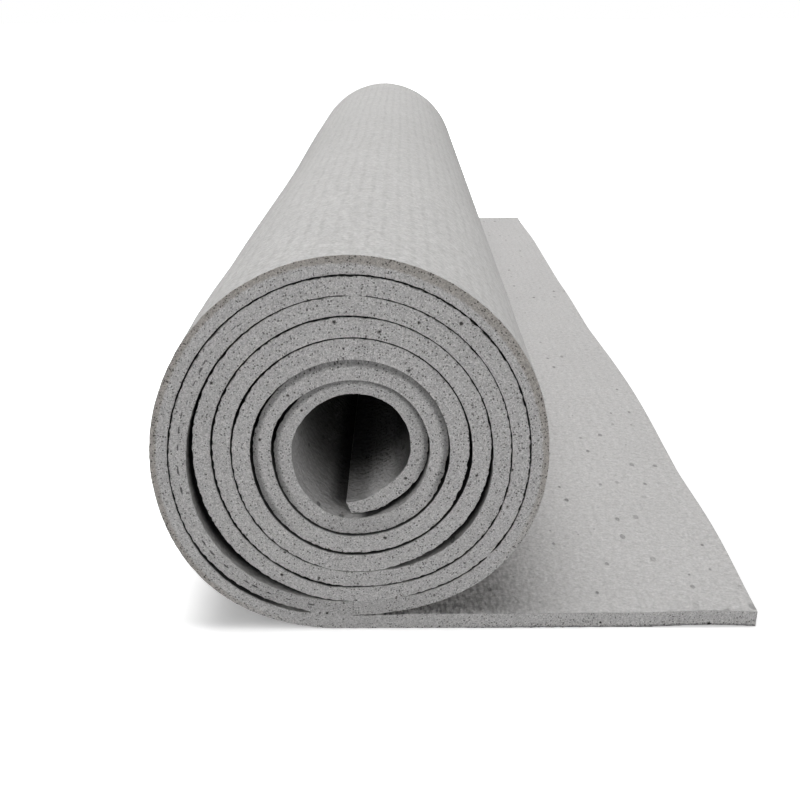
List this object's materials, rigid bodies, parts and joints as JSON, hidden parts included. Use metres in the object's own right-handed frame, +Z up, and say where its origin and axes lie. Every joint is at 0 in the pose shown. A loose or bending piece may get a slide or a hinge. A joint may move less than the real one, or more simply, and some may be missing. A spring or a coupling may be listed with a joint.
{
  "type": "yoga mat",
  "caption": "Foam yoga mat rolled into a spiral with its free end lying flat beside the roll, ready to be rolled up or laid out on the floor.",
  "frame": {"origin": "on the floor, under the roll's centre and halfway along the roll", "axes": "+Y along the roll's axis, away from the end that shows the spiral; +X towards the free end; +Z up"},
  "size_m": [0.1762, 0.615, 0.1141],
  "materials": {
    "upper_foam": "closed-cell PVC foam with a fine smooth skin",
    "scrim": "open polyester mesh sealed in the foam",
    "lower_foam": "closed-cell PVC foam with a knobbly non-slip skin"
  },
  "bodies": {
    "roll": {"upper_foam_roll": "upper_foam", "scrim_roll": "scrim", "lower_foam_roll": "lower_foam"},
    "flap_1": {"upper_foam_flap_1": "upper_foam", "scrim_flap_1": "scrim", "lower_foam_flap_1": "lower_foam"},
    "flap_2": {"upper_foam_flap_2": "upper_foam", "scrim_flap_2": "scrim", "lower_foam_flap_2": "lower_foam"},
    "flap_3": {"upper_foam_flap_3": "upper_foam", "scrim_flap_3": "scrim", "lower_foam_flap_3": "lower_foam"},
    "flap_4": {"upper_foam_flap_4": "upper_foam", "scrim_flap_4": "scrim", "lower_foam_flap_4": "lower_foam"},
    "flap_5": {"upper_foam_flap_5": "upper_foam", "scrim_flap_5": "scrim", "lower_foam_flap_5": "lower_foam"},
    "flap_6": {"upper_foam_flap_6": "upper_foam", "scrim_flap_6": "scrim", "lower_foam_flap_6": "lower_foam"}
  },
  "joints": [
    {"name": "flap_curl_1", "type": "hinge", "parent": "roll", "child": "flap_1", "pos_m": [0.0269, 0, 0.0052], "axis": [0, -1, 0], "range_deg": [0, 35.5]},
    {"name": "flap_curl_2", "type": "hinge", "parent": "flap_1", "child": "flap_2", "pos_m": [0.0425, 0, 0.0052], "axis": [0, -1, 0], "range_deg": [0, 16.3]},
    {"name": "flap_curl_3", "type": "hinge", "parent": "flap_2", "child": "flap_3", "pos_m": [0.0581, 0, 0.0052], "axis": [0, -1, 0], "range_deg": [0, 16.3]},
    {"name": "flap_curl_4", "type": "hinge", "parent": "flap_3", "child": "flap_4", "pos_m": [0.0737, 0, 0.0052], "axis": [0, -1, 0], "range_deg": [0, 16.3]},
    {"name": "flap_curl_5", "type": "hinge", "parent": "flap_4", "child": "flap_5", "pos_m": [0.0893, 0, 0.0052], "axis": [0, -1, 0], "range_deg": [0, 16.3]},
    {"name": "flap_curl_6", "type": "hinge", "parent": "flap_5", "child": "flap_6", "pos_m": [0.1049, 0, 0.0052], "axis": [0, -1, 0], "range_deg": [0, 16.3]}
  ],
  "couplings": [
    {"joint": "flap_curl_2", "follows": "flap_curl_1", "ratio": 0.437},
    {"joint": "flap_curl_3", "follows": "flap_curl_1", "ratio": 0.437},
    {"joint": "flap_curl_4", "follows": "flap_curl_1", "ratio": 0.437},
    {"joint": "flap_curl_5", "follows": "flap_curl_1", "ratio": 0.437},
    {"joint": "flap_curl_6", "follows": "flap_curl_1", "ratio": 0.437}
  ]
}
